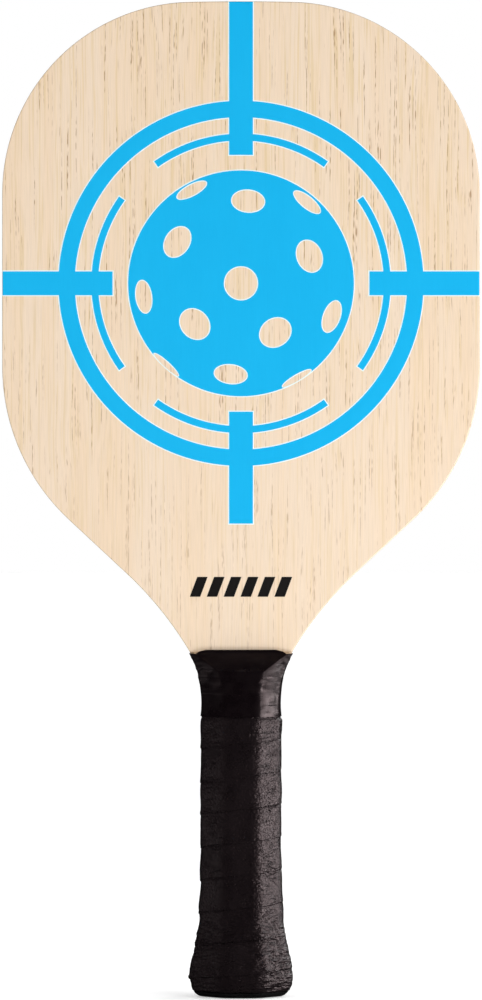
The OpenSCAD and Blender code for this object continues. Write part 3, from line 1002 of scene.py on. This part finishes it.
def grip_look():
    """Synthetic leather: pebbled grain, creases along the winding, more of them at the butt"""
    look = Look("grip_leather", roughness=0.28, Specular_IOR_Level=0.24,
                Specular_Tint=WARM_SHEEN)
    pebble_map = look.node("ShaderNodeMapping",
                           {"Vector": look.position, "Scale": (950, 950, 1150)}).outputs[0]
    pebbles = look.node("ShaderNodeTexVoronoi", {"Vector": pebble_map, "Scale": 1.0},
                        feature="SMOOTH_F1").outputs["Distance"]
    butt = look.range(look.height(), (CAP_SKIRT_Z + 6) * MM, (CAP_SKIRT_Z - BUTT_RUN) * MM,
                      0.12, 1.0)
    pebbles = look.math("MULTIPLY", pebbles, look.math("SUBTRACT", 1.2, butt))
    grain = look.noise((0.7, 0.7, 0.6), 2, 0.6)
    wrinkles = look.noise((3.2, 3.2, 1.15), 1.5)
    fold = look.math("MULTIPLY", wrinkles, butt)
    crease = look.math("ABSOLUTE", look.math("SUBTRACT", wound_noise_node(look, 9, 1.6, 15), 0.5))
    crease = look.range(crease, 0.0, 0.03)
    sparse = look.range(look.noise((5, 5, 4), 1), 0.5, 0.62)
    crease = look.math("MAXIMUM", crease, look.math("SUBTRACT", 1.0, sparse))
    rubbed = look.noise((9, 9, 12), 2)
    look.colour(look.mix(look.range(rubbed, 0.3, 0.7), rgb(0.0062, 0.0043, 0.0049),
                         rgb(0.0088, 0.0062, 0.0069)))
    look.roughness(look.range(rubbed, 0.3, 0.7, 0.25, 0.31))
    first = look.bump(pebbles, 0.28)
    second = look.bump(grain, 0.26, first)
    third = look.bump(fold, 1.2, second)
    look.bump(crease, 0.2, third)
    return look.material


def tape_look():
    """Glossy vinyl tape, a little slack, duller where it is stretched over the ramp"""
    look = Look("tape_vinyl", roughness=0.3, Specular_IOR_Level=0.15,
                Specular_Tint=WARM_SHEEN)
    lines = look.noise((16, 16, 1.1), 2, 0.5)
    smears = look.noise((6, 6, 5), 1)
    look.colour(look.mix(look.range(smears, 0.3, 0.7), rgb(0.0036, 0.0022, 0.0028),
                         rgb(0.0052, 0.0034, 0.0040)))
    stretched = look.range(look.height(), RAMP_Z * MM, RAMP_TOP_Z * MM, 0.0, 0.22)
    gloss = look.range(smears, 0.3, 0.7, 0.25, 0.33)
    look.roughness(look.math("ADD", gloss, stretched))
    first = look.bump(lines, 0.05)
    look.bump(smears, 0.5, first)
    return look.material


def cap_look():
    """Moulded plastic with a fine spark-eroded texture and paler, rougher scuffs in fine bands"""
    look = Look("cap_plastic", roughness=0.4, Specular_IOR_Level=0.35)
    spark = look.noise((0.18, 0.18, 0.18), 2)
    scuffs = look.noise((2.5, 2.5, 0.6), 3, 0.6)
    look.colour(look.mix(look.range(scuffs, 0.55, 0.8), rgb(0.005, 0.0045, 0.005),
                         rgb(0.012, 0.011, 0.011)))
    look.roughness(look.range(scuffs, 0.3, 0.8, 0.36, 0.52))
    look.bump(spark, 0.015)
    return look.material


def steel_look():
    """Drawn wire"""
    look = Look("staple_steel", roughness=0.35, Metallic=1.0)
    drawn = look.noise((0.6, 0.08, 0.08), 2)
    look.colour(look.mix(look.range(drawn, 0.3, 0.7), rgb(0.62, 0.62, 0.63), rgb(0.5, 0.5, 0.5)))
    look.roughness(look.range(drawn, 0.3, 0.7, 0.28, 0.42))
    look.bump(drawn, 0.01)
    return look.material


# ---- Build ----

face_material = face_wood()
long_material = long_wood()
cross_material = cross_wood()
handle_material = handle_wood()
blue_ink = ink_look("blue_ink", (0.004, 0.425, 0.795), (0.006, 0.445, 0.815), 0.5, 0.2)
undercoat_ink = ink_look("undercoat_ink", (0.80, 0.92, 0.92), (0.77, 0.88, 0.88), 0.5, 0.2)
black_ink = ink_look("black_ink", (0.008, 0.007, 0.007), (0.012, 0.010, 0.010), 0.5, 0.2)

surface = face_surface()
make_face_ply("face_ply_front", -1, surface, face_material, "ply_1_front_face")
make_face_ply("face_ply_back", 1, surface, face_material, "ply_7_back_face")
for side, word in ((-1, "front"), (1, "back")):
    make_ink("target_ink_" + word, side, surface, {1: 1, 2: 0}, [blue_ink, undercoat_ink],
             word + "_target_print", "blue_ink")
    make_ink("neck_ink_" + word, side, surface, {3: 0}, [black_ink],
             word + "_neck_print", "black_ink")

for index, node in ((2, "ply_2_cross"), (4, "ply_4_core"), (6, "ply_6_cross")):
    make_inner_ply("cross_ply_%d" % index, index, CROSS_SUNK, cross_material, "cross_wood", node)
for index, node in ((3, "ply_3_long"), (5, "ply_5_long")):
    make_inner_ply("long_ply_%d" % index, index, LONG_SUNK, long_material, "long_wood", node)

grip = make_grip(grip_look())
make_tape(tape_look())
make_cap(cap_look())

for node, mat in (("handle_scale_front", handle_material), ("handle_scale_back", handle_material),
                  ("butt_cap_staples", steel_look())):
    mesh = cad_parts[node].data
    mesh.materials.clear()
    mesh.materials.append(mat)


# ---- Floor, light and camera, in metres ----

PADDLE_MIDDLE = Vector((0, 0, 0.2))


def make_floor():
    """A white disc just under the butt, with a faint light of its own"""
    radius, parts, floor_z = 14.0, 64, -0.0002
    turns = [2 * math.pi * i / parts for i in range(parts)]
    rim = [(radius * math.cos(t), radius * math.sin(t), floor_z) for t in turns]
    mesh = bpy.data.meshes.new("studio_floor")
    mesh.from_pydata(rim, [], [tuple(range(parts))])
    floor = bpy.data.objects.new("studio_floor", mesh)
    bpy.context.scene.collection.objects.link(floor)
    look = Look("floor_white", roughness=0.9, Specular_IOR_Level=0.0,
                Emission_Color=(1, 1, 1, 1), Emission_Strength=0.42)
    look.colour(rgb(0.78, 0.78, 0.78))
    mesh.materials.append(look.material)
    floor.visible_glossy = False


def towards(azimuth, elevation):
    """The direction from the paddle at so many degrees to the right of the camera, and up"""
    a, e = math.radians(azimuth), math.radians(elevation)
    return Vector((math.sin(a) * math.cos(e), -math.cos(a) * math.cos(e), math.sin(e)))


def add_light(name, kind, direction, distance, energy):
    data = bpy.data.lights.new(name, kind)
    data.energy = energy
    light = bpy.data.objects.new(name, data)
    light.location = direction * distance + PADDLE_MIDDLE
    light.rotation_mode = "QUATERNION"
    light.rotation_quaternion = direction.to_track_quat("Z", "Y")
    light.visible_camera = False
    bpy.context.scene.collection.objects.link(light)
    return data


def far_light(name, azimuth, elevation, strength, mirrored=True):
    """A broad even light from far away, which glossy surfaces needn't mirror"""
    data = add_light(name, "SUN", towards(azimuth, elevation), 3, strength)
    data.angle = math.radians(36)
    bpy.data.objects[name].visible_glossy = mirrored


def softbox(name, azimuth, elevation, distance, width, height, radiance):
    """A lit rectangle near the paddle, which its glossy bevels mirror"""
    data = add_light(name, "AREA", towards(azimuth, elevation), distance,
                     radiance * math.pi * width * height)
    data.shape = "RECTANGLE"
    data.size, data.size_y = width, height


def make_studio():
    """Even light all round, softboxes at the sides, and a white world that only the camera sees"""
    far_light("front_left", -45, 34, 1.35, mirrored=False)
    far_light("front_right", 45, 34, 1.11, mirrored=False)
    far_light("back_left", -165, 30, 1.1, mirrored=False)
    far_light("back_right", 140, 30, 1.1)
    softbox("key_right", 89, -3.5, 1.1, 0.5, 0.2, 22)
    softbox("strip_right", 88, 27, 1.1, 0.5, 0.12, 13)
    softbox("kick_right", 85, -33, 0.32, 0.35, 0.05, 10)
    softbox("kick_left", -85, -33, 0.32, 0.35, 0.04, 1.5)
    world = bpy.data.worlds.new("studio_white")
    bpy.context.scene.world = world
    world.use_nodes = True
    world.node_tree.nodes["Background"].inputs["Color"].default_value = (1, 1, 1, 1)
    world.node_tree.nodes["Background"].inputs["Strength"].default_value = 1.0
    world.cycles_visibility.diffuse = False
    world.cycles_visibility.glossy = False


def make_camera():
    """Square on to the front face, with the paddle filling the frame's height"""
    distance = 2.4
    seen_height = 0.402
    middle_z = 0.1995
    camera = bpy.data.objects.new("camera", bpy.data.cameras.new("camera"))
    camera.location = (0, -distance, middle_z)
    camera.rotation_euler = (math.pi / 2, 0, 0)
    face_distance = distance - HALF_T * MM
    camera.data.lens = camera.data.sensor_width * face_distance / seen_height
    camera.data.clip_start, camera.data.clip_end = 0.05, 60
    bpy.context.scene.collection.objects.link(camera)
    bpy.context.scene.camera = camera


make_floor()
make_studio()
make_camera()
bpy.context.scene.view_settings.view_transform = "Standard"
